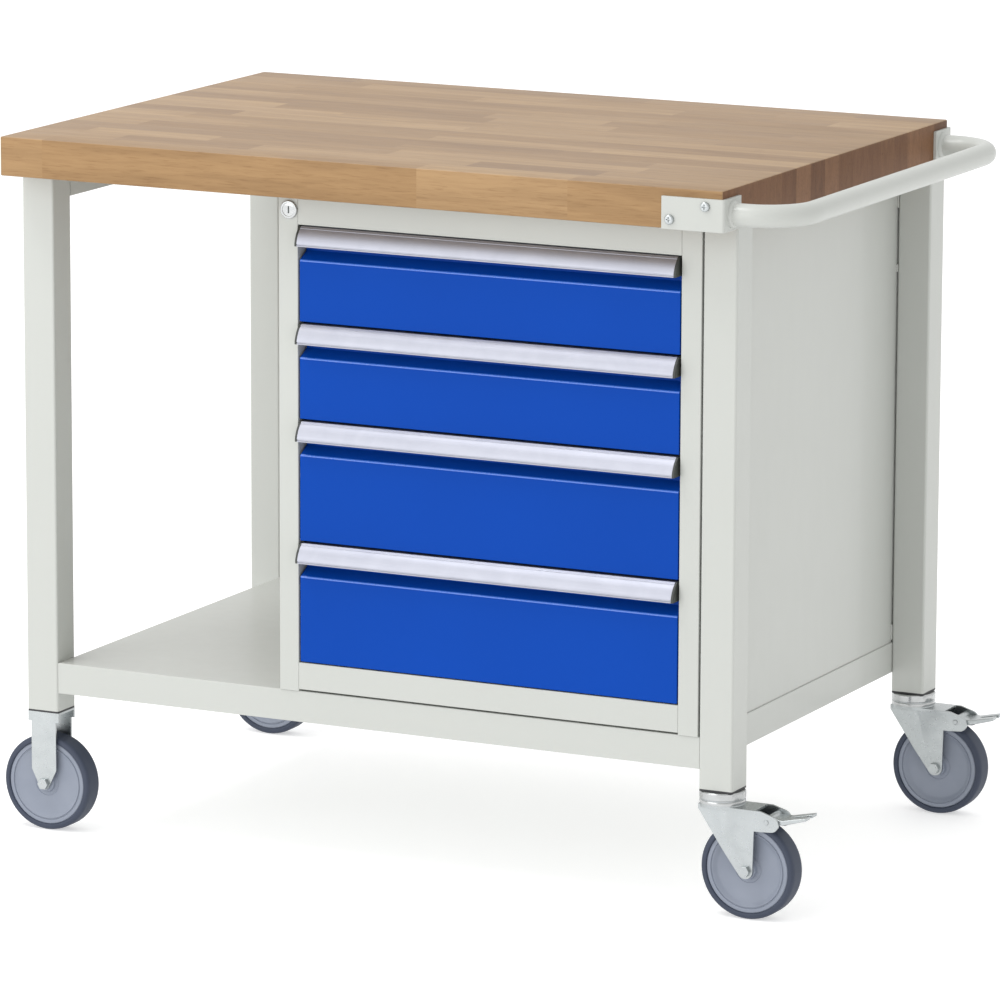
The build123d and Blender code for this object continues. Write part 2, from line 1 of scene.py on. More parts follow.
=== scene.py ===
# %% [markdown]
# # A mobile workbench, finished for rendering
#
# The bench's frame, drawers, handle and casters were designed as exact parts, and every one of
# them already stands in its place. This script gives them their visible finish: the beech top is
# glued up from its staves, the sheet-metal parts get the soft edges of folded and painted steel,
# the grips are extruded and the wheels turned again with their fine grooves, and each surface
# gets a material built from nodes. Units are metres.

# %% Load the frame
import json
import random
from math import radians, pi

import bmesh
import bpy
from mathutils import Matrix, Vector

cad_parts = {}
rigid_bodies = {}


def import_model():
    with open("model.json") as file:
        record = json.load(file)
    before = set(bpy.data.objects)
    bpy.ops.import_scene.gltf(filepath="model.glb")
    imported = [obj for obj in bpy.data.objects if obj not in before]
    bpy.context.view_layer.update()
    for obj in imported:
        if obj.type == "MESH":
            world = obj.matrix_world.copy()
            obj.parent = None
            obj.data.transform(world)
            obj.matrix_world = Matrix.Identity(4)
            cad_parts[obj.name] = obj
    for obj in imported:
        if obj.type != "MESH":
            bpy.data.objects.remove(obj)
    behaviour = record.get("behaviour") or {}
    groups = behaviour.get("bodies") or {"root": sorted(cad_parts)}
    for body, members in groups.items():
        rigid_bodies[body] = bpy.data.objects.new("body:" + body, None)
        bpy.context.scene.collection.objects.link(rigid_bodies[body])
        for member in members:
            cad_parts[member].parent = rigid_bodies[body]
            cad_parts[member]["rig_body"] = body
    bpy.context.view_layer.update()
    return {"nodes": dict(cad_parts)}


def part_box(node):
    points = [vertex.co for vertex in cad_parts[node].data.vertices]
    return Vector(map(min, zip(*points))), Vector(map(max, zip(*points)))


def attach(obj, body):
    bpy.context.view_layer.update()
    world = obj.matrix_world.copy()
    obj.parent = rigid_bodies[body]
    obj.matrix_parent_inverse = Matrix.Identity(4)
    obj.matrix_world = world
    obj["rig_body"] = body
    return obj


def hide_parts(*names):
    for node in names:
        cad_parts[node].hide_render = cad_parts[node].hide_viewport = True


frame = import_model()
nodes = frame["nodes"]
MM = 0.001

# %% [markdown]
# ## A helper for materials
#
# Every finish is a Principled shader fed by a few textures. Writing the links by hand each time
# would bury the idea of a finish, so one small class adds nodes and joins sockets, and all the
# patterns start from Object coordinates: the pieces sit at the origin, so a pattern keeps its
# real size in metres on every one of them.


# %% A finish: one material and its nodes
class Finish:
    """A Principled material under construction, with short ways to add and join nodes."""

    def __init__(self, name, colour, roughness, metallic=0.0):
        self.material = bpy.data.materials.new(name)
        self.material.use_nodes = True
        self.tree = self.material.node_tree
        self.shader = self.tree.nodes["Principled BSDF"]
        self.shader.inputs["Base Color"].default_value = (*colour, 1)
        self.shader.inputs["Roughness"].default_value = roughness
        self.shader.inputs["Metallic"].default_value = metallic
        self.place = self.add("ShaderNodeTexCoord").outputs["Object"]

    def add(self, kind, **settings):
        node = self.tree.nodes.new(kind)
        for name, value in settings.items():
            setattr(node, name, value)
        return node

    def join(self, output, target):
        self.tree.links.new(output, target)

    def stretched(self, scale):
        mapping = self.add("ShaderNodeMapping")
        mapping.inputs["Scale"].default_value = scale
        self.join(self.place, mapping.inputs["Vector"])
        return mapping.outputs["Vector"]

    def noise(self, scale, detail=4.0, vector=None, distortion=0.0):
        texture = self.add("ShaderNodeTexNoise")
        texture.inputs["Scale"].default_value = scale
        texture.inputs["Detail"].default_value = detail
        texture.inputs["Distortion"].default_value = distortion
        self.join(vector or self.place, texture.inputs["Vector"])
        return texture.outputs["Fac"]

    def ramp(self, value, *stops):
        ramp = self.add("ShaderNodeValToRGB")
        elements = ramp.color_ramp.elements
        while len(elements) < len(stops):
            elements.new(0.5)
        for element, (position, colour) in zip(elements, stops):
            element.position = position
            element.color = (*colour, 1)
        self.join(value, ramp.inputs["Fac"])
        return ramp.outputs["Color"]

    def blend(self, kind, factor, first, second):
        mix = self.add("ShaderNodeMix", data_type="RGBA", blend_type=kind)
        for title, value in (("Factor", factor), ("A", first), ("B", second)):
            spot = [socket for socket in mix.inputs if socket.name == title and socket.enabled][0]
            if hasattr(value, "links"):
                self.join(value, spot)
            else:
                spot.default_value = value
        return [socket for socket in mix.outputs if socket.enabled][0]

    def spread(self, value, low, high):
        fit = self.add("ShaderNodeMapRange")
        fit.inputs["To Min"].default_value = low
        fit.inputs["To Max"].default_value = high
        self.join(value, fit.inputs["Value"])
        return fit.outputs["Result"]

    def colour(self, output):
        self.join(output, self.shader.inputs["Base Color"])

    def roughness(self, output, low, high):
        self.join(self.spread(output, low, high), self.shader.inputs["Roughness"])

    def bump(self, output, height, strength):
        bump = self.add("ShaderNodeBump")
        bump.inputs["Distance"].default_value = height
        bump.inputs["Strength"].default_value = strength
        before = self.shader.inputs["Normal"].links
        if before:
            self.join(before[0].from_socket, bump.inputs["Normal"])
        self.join(output, bump.inputs["Height"])
        self.join(bump.outputs["Normal"], self.shader.inputs["Normal"])


# %% [markdown]
# ## Powder coat
#
# The frame, the cabinet and the drawer fronts are powder coated. Such paint flows into a very
# fine orange-peel skin with soft gloss. One flat colour would look like plastic film, so three
# noises work together: a fine one for the skin's height, a wide one that lets the shade drift a
# little across a panel, and a third that varies the gloss like faint rubbed spots. The sharp fold
# on the drawer fronts gets glossier paint, and its paler blue is a painted highlight.


# %% Powder coat in grey and blue
PANEL_WAVE = 0.4 * MM


def powder_coat(name, colour, shade, roughness, peel, gloss, coat):
    """Paint that drifts between a colour and a shade. Peel is the height of its skin."""
    paint = Finish(name, colour, roughness)
    drift = paint.noise(3.0, 3)
    skin = paint.noise(900, 2)
    scuffs = paint.noise(55, 6, paint.stretched((1, 1, 0.35)))
    paint.colour(paint.ramp(drift, (0.3, shade), (0.7, colour)))
    paint.roughness(scuffs, roughness - 0.05, roughness + 0.09)
    paint.bump(skin, peel, 0.35)
    paint.bump(drift, PANEL_WAVE, 0.10)
    paint.shader.inputs["Specular IOR Level"].default_value = gloss
    paint.shader.inputs["Coat Weight"].default_value = coat
    paint.shader.inputs["Coat Roughness"].default_value = 0.14
    return paint.material


GREY, GREY_SHADE = (0.470, 0.483, 0.456), (0.455, 0.468, 0.441)
BLUE, BLUE_SHADE = (0.001, 0.052, 0.350), (0.001, 0.048, 0.326)
# The paler blue of the fold on the drawer fronts is a painted highlight for the line of light along
# it.
PAINTED_HIGHLIGHT_BLUE, PAINTED_HIGHLIGHT_BLUE_DRIFT = (0.035, 0.150, 0.620), (0.025, 0.125, 0.560)
grey_coat = powder_coat("light_grey_powder_coat", GREY, GREY_SHADE,
                        roughness=0.42, peel=0.05 * MM, gloss=0.5, coat=0.2)
blue_coat = powder_coat("gentian_blue_powder_coat", BLUE, BLUE_SHADE,
                        roughness=0.36, peel=0.04 * MM, gloss=0.08, coat=0.0)
painted_highlight_fold_coat = powder_coat("gentian_blue_painted_highlight_on_the_fold", PAINTED_HIGHLIGHT_BLUE, PAINTED_HIGHLIGHT_BLUE_DRIFT,
                        roughness=0.26, peel=0.02 * MM, gloss=0.6, coat=0.4)
print("powder coats", grey_coat.name, blue_coat.name, painted_highlight_fold_coat.name)

# %% [markdown]
# ## Metals
#
# Zinc plate is bluish and slightly cloudy, the grips are anodised aluminium with fine lines from
# the extrusion die, galvanised runners show grey spangle, and the lock and the swivel bearings are
# polished plate. Four separate recipes would mostly repeat each other, so all of them share one:
# a metal colour clouded by a noise, and a second pattern for the roughness and the fine relief.
# For the grips that pattern is stretched along their length into die lines.


# %% Zinc, aluminium, galvanised strip and polished plate
def metal(name, colour, cloud, roughness, grain_scale, grain_stretch, grain_height):
    """Metal clouded between two colours, with a grain as fine as its scale and as high as given."""
    steel = Finish(name, colour, roughness, 1.0)
    clouds = steel.noise(38, 5, distortion=0.6)
    grain = steel.noise(grain_scale, 3, steel.stretched(grain_stretch))
    steel.colour(steel.ramp(clouds, (0.32, cloud), (0.68, colour)))
    steel.roughness(grain, roughness - 0.07, roughness + 0.10)
    steel.bump(grain, grain_height, 0.3)
    return steel.material


EVEN, DIE_LINES = (1, 1, 1), (0.004, 1, 1)
zinc = metal("bright_zinc_plate", (0.46, 0.485, 0.49), (0.42, 0.445, 0.45),
             0.28, 260, EVEN, 0.012 * MM)
aluminium = metal("anodised_grip", (0.43, 0.44, 0.495), (0.40, 0.41, 0.465),
                  0.48, 1500, DIE_LINES, 0.03 * MM)
galvanised = metal("galvanised_strip", (0.56, 0.58, 0.60), (0.42, 0.44, 0.46),
                   0.42, 120, EVEN, 0.05 * MM)
polished = metal("polished_plate", (0.52, 0.53, 0.53), (0.44, 0.45, 0.45),
                 0.20, 400, EVEN, 0.01 * MM)
print("metals", zinc.name, aluminium.name, galvanised.name, polished.name)

# %% [markdown]
# ## Rubber and plastics
#
# The treads are slate-grey solid rubber, the wheel centres grey nylon, and the grip's end caps
# and the leg inserts dark moulded plastic. Moulded surfaces have a spark-eroded grain, and they
# are never one even shade, so a wide noise moves the colour between two close tones and the
# gloss with it.


# %% Rubber, nylon and dark plastics
def moulded(name, colour, light, roughness, grain):
    """Rubber or plastic between two tones, with a moulded grain as high as given."""
    plastic = Finish(name, colour, roughness)
    patches = plastic.noise(24, 5)
    texture = plastic.noise(700, 3)
    plastic.colour(plastic.ramp(patches, (0.35, colour), (0.75, light)))
    plastic.roughness(patches, roughness - 0.06, roughness + 0.10)
    plastic.bump(texture, grain, 0.4)
    return plastic.material


slate_rubber = moulded("slate_rubber", (0.026, 0.036, 0.062), (0.038, 0.048, 0.078),
                       0.60, 0.08 * MM)
grey_nylon = moulded("grey_nylon", (0.205, 0.230, 0.285), (0.230, 0.255, 0.310),
                     0.45, 0.05 * MM)
cap_plastic = moulded("grip_cap_plastic", (0.030, 0.034, 0.030), (0.040, 0.044, 0.040),
                      0.45, 0.05 * MM)
black_plastic = moulded("black_insert_plastic", (0.020, 0.020, 0.022), (0.030, 0.030, 0.032),
                        0.50, 0.05 * MM)
print("plastics", slate_rubber.name, grey_nylon.name, cap_plastic.name, black_plastic.name)

# %% [markdown]
# ## Beech
#
# Steamed beech is pinkish tan with short dark flecks and faint growth bands along the stave. Each
# stave was cut from another board, so the tone jumps from stave to stave. The mesh carries one
# number per stave, and the material uses it twice: to choose the tone and to shift the grain, so
# that no figure runs on across a joint. Sawn ends are darker, because open pores drink the oil.
# The front and back edges get warmer, lighter tones than the top: that is painted light, for how
# light falls differently on the edges and the top.


# %% Long grain, end grain and front edge
GRAIN_JUMP = 37.0


def beech(name, tones, flecks, stretch, roughness, sheen):
    """Wood in four tones, one picked by each stave's number, under bands, threads and flecks."""
    wood = Finish(name, tones[1], roughness)
    stave = wood.add("ShaderNodeAttribute", attribute_name="stave").outputs["Fac"]
    offset = wood.add("ShaderNodeCombineXYZ")
    jump = wood.add("ShaderNodeMath", operation="MULTIPLY")
    jump.inputs[1].default_value = GRAIN_JUMP
    wood.join(stave, jump.inputs[0])
    for axis in ("X", "Y", "Z"):
        wood.join(jump.outputs["Value"], offset.inputs[axis])
    shifted = wood.add("ShaderNodeVectorMath", operation="ADD")
    wood.join(wood.stretched(stretch), shifted.inputs[0])
    wood.join(offset.outputs["Vector"], shifted.inputs[1])
    place = shifted.outputs["Vector"]
    figure = wood.noise(1.0, 4, place, 1.2)
    pores = wood.noise(14.0, 6, place, 0.2)
    fine = wood.noise(5.0, 5, place, 0.6)
    tone = wood.ramp(stave, *zip((0.0, 0.35, 0.7, 1.0), tones))
    bands = wood.ramp(figure, (0.35, (0.86, 0.83, 0.80)), (0.62, (1.04, 1.03, 1.02)))
    dots = wood.ramp(pores, (0.30, flecks), (0.46, (1, 1, 1)))
    threads = wood.ramp(fine, (0.30, (0.90, 0.87, 0.84)), (0.60, (1.02, 1.02, 1.02)))
    banded = wood.blend("MULTIPLY", 1.0, tone, bands)
    threaded = wood.blend("MULTIPLY", 0.8, banded, threads)
    wood.colour(wood.blend("MULTIPLY", 0.75, threaded, dots))
    wood.roughness(fine, roughness - 0.05, roughness + 0.12)
    wood.bump(pores, 0.12 * MM, 0.35)
    wood.shader.inputs["Specular IOR Level"].default_value = sheen
    return wood.material


LONG_TONES = ((0.235, 0.142, 0.066), (0.290, 0.182, 0.086),
              (0.345, 0.226, 0.114), (0.255, 0.156, 0.072))
END_TONES = ((0.115, 0.052, 0.023), (0.165, 0.080, 0.038),
             (0.200, 0.102, 0.050), (0.135, 0.062, 0.026))
# Painted light: these edge tones are warmer and lighter than the long grain, for how light falls on
# the front and back edges. The edge material's lower sheen is real.
EDGE_TONES_WITH_PAINTED_LIGHT = ((0.275, 0.163, 0.070), (0.315, 0.192, 0.087),
              (0.355, 0.226, 0.110), (0.290, 0.174, 0.075))
ALONG_THE_STAVE, ACROSS_THE_END = (3.2, 42, 42), (60, 95, 18)
beech_long = beech("oiled_beech", LONG_TONES, (0.74, 0.68, 0.62), ALONG_THE_STAVE, 0.44, 0.60)
beech_end = beech("oiled_beech_end_grain", END_TONES, (0.45, 0.40, 0.36), ACROSS_THE_END,
                  0.55, 0.25)
beech_edge_painted_light = beech("oiled_beech_edge_painted_light", EDGE_TONES_WITH_PAINTED_LIGHT, (0.80, 0.75, 0.70), ALONG_THE_STAVE,
                   0.50, 0.30)
print("materials", len(bpy.data.materials))

# %% [markdown]
# ## Putting a piece in the scene
#
# Every new piece goes through one door: its mesh gets smooth shading with creases kept sharp, its
# materials, a body to move with, and the exact part that it stands in for, if there is one.
# Doing this by hand for each piece would soon leave one behind when a drawer opens.


# %% Finish a bmesh as a piece
def as_piece(name, bm, materials, body, replaced=(), crease=35):
    mesh = bpy.data.meshes.new(name)
    bm.to_mesh(mesh)
    bm.free()
    mesh.shade_smooth()
    mesh.set_sharp_from_angle(angle=radians(crease))
    for material in materials:
        mesh.materials.append(material)
    piece = bpy.data.objects.new(name, mesh)
    bpy.context.scene.collection.objects.link(piece)
    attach(piece, body)
    if replaced:
        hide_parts(*replaced)
    return piece


def body_of(node):
    return nodes[node]["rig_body"]


print("the worktop rides on", body_of("worktop"))

# %% [markdown]
# ## The worktop, glued up from staves
#
# A laminated top is made of strips as wide as the boards allow, and each strip of several
# lengths. The top could be one box with painted lines, but the joints would float over the edges.
# Here every length is its own block, cut to the strip's width, so the joints run round the edge
# and through to the underside as they do in real wood. Only the outer arrises are eased. The
# strip at the front edge is the one everybody sees, so its joints and tones are listed one by one.

# %% Cut one stave
top_low, top_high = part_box("worktop")
STRIPS = 16
ARRIS = 1.8 * MM
LONG_GRAIN, END_GRAIN, EDGE_GRAIN = 0, 1, 2
strip_width = (top_high.y - top_low.y) / STRIPS
LAST_JOINT = 0.92
FRONT_JOINTS = (0.061, 0.589, 0.794)
FRONT_TONES = (0.45, 0.30, 0.62, 0.42)


def strip_joints(strip, draw):
    """Places of the joints along one strip, as shares of its length."""
    if strip == 0:
        return list(FRONT_JOINTS)
    joints, reached = [], draw.uniform(0.05, 0.32)
    while reached < LAST_JOINT:
        joints.append(reached)
        reached += draw.uniform(0.16, 0.38)
    return joints


def on_outside(edge):
    """True for an edge where two outer faces of the whole top meet."""
    faces = set()
    for axis in range(3):
        for limit in (top_low[axis], top_high[axis]):
            if all(abs(vert.co[axis] - limit) < 1e-6 for vert in edge.verts):
                faces.add((axis, limit))
    return len(faces) == 2


def grain_on(face):
    """Slot of the material for a face: long grain, end grain or the front and back edge."""
    if abs(face.normal.x) > 0.8:
        return END_GRAIN
    return EDGE_GRAIN if abs(face.normal.y) > 0.8 else LONG_GRAIN


def stave_block(bm, low, high, tone):
    """One length of wood between two corners, with its outer arrises eased."""
    size = high - low
    place = Matrix.Translation((low + high) / 2) @ Matrix.Diagonal((*size, 1))
    block = bmesh.new()
    stave_number = block.faces.layers.float.new("stave")
    bmesh.ops.create_cube(block, size=1, matrix=place)
    arrises = [edge for edge in block.edges if on_outside(edge)]
    if arrises:
        bmesh.ops.bevel(block, geom=arrises, offset=ARRIS, offset_type="OFFSET", segments=3,
                        profile=0.5, affect="EDGES", material=-1)
    for face in block.faces:
        face[stave_number] = tone
        face.material_index = grain_on(face)
    part = bpy.data.meshes.new("stave")
    block.to_mesh(part)
    block.free()
    bm.from_mesh(part)
    bpy.data.meshes.remove(part)


print("strip width in millimetres", round(strip_width / MM, 1))

# %% Glue the staves to a top
draw = random.Random(7)
top = bmesh.new()
top.faces.layers.float.new("stave")
blocks = 0
for strip in range(STRIPS):
    near = top_low.y + strip * strip_width
    cuts = [0.0, *strip_joints(strip, draw), 1.0]
    for number, (start, end) in enumerate(zip(cuts, cuts[1:])):
        span = top_high.x - top_low.x
        tone = FRONT_TONES[number] if strip == 0 else draw.random()
        low = Vector((top_low.x + start * span, near, top_low.z))
        high = Vector((top_low.x + end * span, near + strip_width, top_high.z))
        stave_block(top, low, high, tone)
        blocks += 1
# The edge material's warmer, lighter tones are painted light.
grains = [beech_long, beech_end, beech_edge_painted_light]
worktop = as_piece("beech_top", top, grains, "bench", ["worktop"], crease=60)
print("staves", blocks)

# %% [markdown]
# ## Soft edges on the sheet-metal parts
#
# Folded, cut and coated steel never has a razor edge: paint rounds it to about half a millimetre,
# and that thin highlight is what makes a panel read as metal. The exact parts are triangulated
# with sharp edges, so a copy is merged back to flat faces first, and a bevel follows the edges.
# The legs, the cabinet posts, the shelf tray and the handle already have their rounded bends, so
# they keep their own mesh and only get a finish. So do the rails under the top, the runners and
# the leg inserts, whose edges hardly show.


# %% Copy an exact part and ease its edges
MERGE, FLAT = 0.004 * MM, 0.5
SHARP = 40


def eased(node, width, material, segments=2):
    """A merged copy of an exact part, with a bevel of this width on its sharp edges."""
    bm = bmesh.new()
    bm.from_mesh(nodes[node].data)
    bmesh.ops.remove_doubles(bm, verts=bm.verts, dist=MERGE)
    bmesh.ops.dissolve_limit(bm, angle_limit=radians(FLAT), verts=bm.verts, edges=bm.edges)
    piece = as_piece(node + "_eased", bm, [material], body_of(node), [node])
    bevel = piece.modifiers.new("eased edges", "BEVEL")
    bevel.width = width
    bevel.segments = segments
    bevel.limit_method = "ANGLE"
    bevel.angle_limit = radians(SHARP)
    bevel.harden_normals = False
    return piece


def plain(node, material):
    """An exact part that keeps its own mesh and gets a finish."""
    mesh = nodes[node].data
    mesh.materials.clear()
    mesh.materials.append(material)


print("edges sharper than", SHARP, "degrees are eased")

# %% Frame, shelf and cabinet
SHEET_EDGE, RAIL_EDGE = 0.4 * MM, 0.8 * MM
SCREW_EDGE, LOCK_EDGE = 0.25 * MM, 0.2 * MM
for place in ("front_left", "front_right", "rear_left", "rear_right"):
    plain("leg_" + place, grey_coat)
for node in ("left_top_rail", "rear_top_rail", "shelf_tray",
             "cabinet_post_left", "cabinet_post_right"):
    plain(node, grey_coat)
plain("leg_plugs", black_plastic)
plain("cabinet_runners", galvanised)
plain("push_handle", grey_coat)
for node in ("cabinet_top_rail", "cabinet_bottom_rail"):
    eased(node, RAIL_EDGE, grey_coat)
for node in ("cabinet_side_left", "cabinet_side_right", "cabinet_back", "cabinet_tabs"):
    eased(node, SHEET_EDGE, grey_coat)
eased("handle_brackets", RAIL_EDGE, grey_coat)
eased("bracket_screws", SCREW_EDGE, zinc)
eased("lock_rosette", LOCK_EDGE, polished)
eased("lock_barrel", LOCK_EDGE, polished)
print("frame and cabinet finished")

# %% [markdown]
# ## Drawer grips
#
# The grip is an aluminium extrusion: a convex face with one fine line under its top edge, rolled
# round to a grooved lip that the fingers catch. Grooves cut into a finished bar would need many
# cuts, but an extrusion is one outline pulled to length, so the outline is walked once, groove
# and lip included, and pulled along the drawer.


# %% Pull a closed outline to length along X
def extrusion(bm, outline, start, end):
    """The closed outline in Y and Z as a bar between two places on X."""
    ring = [bm.verts.new((start, y, z)) for y, z in outline]
    face = bm.faces.new(ring)
    pulled = bmesh.ops.extrude_face_region(bm, geom=[face])["geom"]
    moved = [item for item in pulled if isinstance(item, bmesh.types.BMVert)]
    bmesh.ops.translate(bm, verts=moved, vec=(end - start, 0, 0))
    bmesh.ops.recalc_face_normals(bm, faces=bm.faces)


def bulge(start, end, sagitta, steps):
    """Points along a shallow arc between two points, bowed to the left of the way along it."""
    way = end - start
    side = Vector((-way.y, way.x)).normalized()
    points = []
    for step in range(steps + 1):
        share = step / steps
        points.append(start + way * share + side * sagitta * 4 * share * (1 - share))
    return points


def grip_outline(back, front, low, high):
    """Outer face with its line and lip, then back along the inside, in Y and Z."""
    wall, lip_height, sagitta = 2.0 * MM, 4.0 * MM, 2.0 * MM
    groove_width, groove_depth, line_depth = 1.1 * MM, 0.9 * MM, 0.5 * MM
    groove_top = low + 2.9 * MM
    crown = front + 13.0 * MM
    face = bulge(Vector((crown, high)), Vector((front, low + lip_height)), -sagitta, 14)
    normal = Vector((front - crown, high - low)).normalized() * line_depth
    line = [face[2], face[2] + (face[3] - face[2]) * 0.15 - normal, face[3] - normal, face[3]]
    lip = [Vector((front, low + 3.2 * MM)), Vector((front + groove_depth, groove_top)),
           Vector((front + groove_depth, groove_top - groove_width)),
           Vector((front, low + 1.5 * MM)), Vector((front + 0.3 * MM, low)),
           Vector((front + wall, low))]
    inside = bulge(Vector((front + wall, low + lip_height)),
                   Vector((crown + 0.4 * MM, high - wall)), sagitta, 8)
    web = [Vector((back - wall, high - wall)), Vector((back - wall, low)), Vector((back, low))]
    return [Vector((back, high))] + face[:2] + line + face[4:] + lip + inside + web


trial = grip_outline(30 * MM, 0, 0, 20 * MM)
print("points in a grip's outline", len(trial))

# %% [markdown]
# ## Drawer fronts
#
# The sheet of a front is folded back under the grip. A press brake leaves that fold rounder than
# a cut edge, about as round as the sheet is thick, and it catches a bright line of light. One
# bevel for all edges would make the fold as thin as the rest, so the fold gets its own wide
# rounding in a paler blue that is a painted highlight for that line of light, and the bevel that
# is already on the piece eases the cut edges.


# %% Round the fold below the grip
NEARLY = 0.05 * MM
# Slot for the paler blue on the fold, which is a painted highlight.
PAINTED_HIGHLIGHT_SLOT = 1


def rounded_fold(piece, below_top, radius):
    """Round the one long edge on the outer face at this depth, and paint a highlight on it in paler
    blue.
    """
    bm = bmesh.new()
    bm.from_mesh(piece.data)
    top = max(vert.co.z for vert in bm.verts)
    face = min(vert.co.y for vert in bm.verts)
    fold = [edge for edge in bm.edges
            if all(abs(vert.co.z - top + below_top) < NEARLY and vert.co.y - face < NEARLY
                   for vert in edge.verts)]
    bmesh.ops.bevel(bm, geom=fold, offset=radius, offset_type="OFFSET", segments=5, profile=0.5,
                    affect="EDGES", material=PAINTED_HIGHLIGHT_SLOT)
    piece.data.materials.append(painted_highlight_fold_coat)
    bm.to_mesh(piece.data)
    bm.free()
    return len(fold)


print("folds are found to within", NEARLY / MM, "mm")

# %% Grips, caps, fronts, boxes and slides of the four drawers
POCKET_FOLD, FOLD_RADIUS = 43.0 * MM, 1.6 * MM
CAP_EDGE, FRONT_EDGE = 0.35 * MM, 0.7 * MM
for number in (1, 2, 3, 4):
    name = f"drawer_{number}"
    low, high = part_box(name + "_grip")
    bm = bmesh.new()
    extrusion(bm, grip_outline(high.y, low.y, low.z, high.z), low.x, high.x)
    grip = as_piece(name + "_grip_profile", bm, [aluminium], name, [name + "_grip"], crease=28)
    eased(name + "_grip_caps", CAP_EDGE, cap_plastic)
    front = eased(name + "_front", FRONT_EDGE, blue_coat, segments=3)
    folds = rounded_fold(front, POCKET_FOLD, FOLD_RADIUS)
    eased(name + "_box", SHEET_EDGE, grey_coat)
    plain(name + "_slides", galvanised)
print("drawers finished, folds rounded on the last front:", folds)

# %% [markdown]
# ## Wheels
#
# Wheel centre and tread are turned shapes. Stacked cylinders would leave hard steps, so each is
# a half section, mirrored and spun round the axle. The centre has a raised boss, a web with a
# ring-shaped groove and a rim. The fixed wheels have an almost flat web and the swivel wheels a
# dished one. The tread has a raised rounded shoulder on both sides.


# %% Spin a closed section round the axle
TURN_STEPS = 96
SEAM = 0.01 * MM


def turned(bm, section, centre, axle=Vector((0, 1, 0)), outwards=Vector((1, 0, 0))):
    """Section of (radius, width) pairs spun a full turn about an axle."""
    ring = [bm.verts.new(centre + outwards * radius + axle * width) for radius, width in section]
    edges = [bm.edges.new((a, b)) for a, b in zip(ring, ring[1:] + ring[:1])]
    bmesh.ops.spin(bm, geom=ring + edges, cent=centre, axis=axle, angle=2 * pi,
                   steps=TURN_STEPS, use_merge=True)
    bmesh.ops.remove_doubles(bm, verts=bm.verts, dist=SEAM)
    bmesh.ops.recalc_face_normals(bm, faces=bm.faces)


def in_metres(section):
    return [(radius * MM, width * MM) for radius, width in section]


def both_sides(half):
    """A half section in millimetres and its mirror image, as one closed outline in metres."""
    return in_metres(half + [(radius, -width) for radius, width in reversed(half)])


print("steps in a full turn", TURN_STEPS)


# %% Sections of wheel centre and tread
def hub_section(dish):
    """Boss, web with a groove and rim. The dish is how far the web lies behind the rim."""
    web = 13.6 - dish
    return both_sides([
        (4.05, 16.8), (4.6, 17.3), (10.8, 17.3), (11.6, 16.6), (12.4, web + 0.8), (13.4, web),
        (15.5, web), (16.0, web - 0.5), (16.9, web - 0.5), (17.4, web), (40.5, web),
        (43.5, web + 0.3 * dish), (46.2, 13.4), (47.2, 13.8), (47.8, 12.6), (48.8, 12.6),
        (49.4, 13.8), (53.4, 13.9), (54.45, 13.2),
    ])


TREAD = both_sides([
    (54.5, 13.4), (54.9, 14.9), (55.6, 15.5), (57.0, 15.7), (58.5, 15.5), (60.2, 14.9),
    (61.4, 13.8), (62.1, 12.2), (62.45, 10.0), (62.5, 7.0), (62.5, 2.0),
])
FLAT_WEB, DISHED_WEB = 1.2, 4.5
print("points in the sections", len(hub_section(FLAT_WEB)), len(TREAD))

# %% Turn the four wheels
for place, dish in (("front_left", FLAT_WEB), ("rear_left", FLAT_WEB),
                    ("front_right", DISHED_WEB), ("rear_right", DISHED_WEB)):
    low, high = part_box("tyre_" + place)
    centre = (low + high) / 2
    bm = bmesh.new()
    turned(bm, hub_section(dish), centre)
    hub = as_piece("wheel_centre_" + place, bm, [grey_nylon], "wheel_" + place,
                   ["hub_" + place], crease=30)
    bm = bmesh.new()
    turned(bm, TREAD, centre)
    tread = as_piece("tread_" + place, bm, [slate_rubber], "wheel_" + place,
                     ["tyre_" + place], crease=40)
print("wheels turned")

# %% [markdown]
# ## Weld beads at the handle
#
# The handle tube is welded to its brackets, and paint over a weld leaves a soft collar where tube
# and plate meet. It could be a torus, but a torus bulges on all sides, and a weld tapers from the
# plate to the tube. So its small section is drawn and turned about the tube's own axis.

# %% Turn the weld beads at the handle's ends
WELD_BEAD = in_metres([(13.8, 0.0), (17.2, 0.0), (17.0, 1.2),
                       (16.0, 2.6), (14.9, 3.6), (13.8, 4.2)])
TUBE_RADIUS = 14 * MM
low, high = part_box("push_handle")
bm = bmesh.new()
for y in (low.y + TUBE_RADIUS, high.y - TUBE_RADIUS):
    foot = Vector((low.x, y, (low.z + high.z) / 2))
    turned(bm, WELD_BEAD, foot, axle=Vector((1, 0, 0)), outwards=Vector((0, 0, 1)))
beads = as_piece("handle_weld_beads", bm, [grey_coat], "bench", crease=50)
print("weld beads turned")

# %% [markdown]
# ## Forks, bearings and brakes
#
# The forks are pressed from zinc-plated sheet. Their cheeks and covers keep the exact shape with
# eased edges. Round the lower race of each swivel sits a thin pressed dust ring. Its rolled edge
# is finer than the bevel could make it, so it is turned from its own section about the king pin.

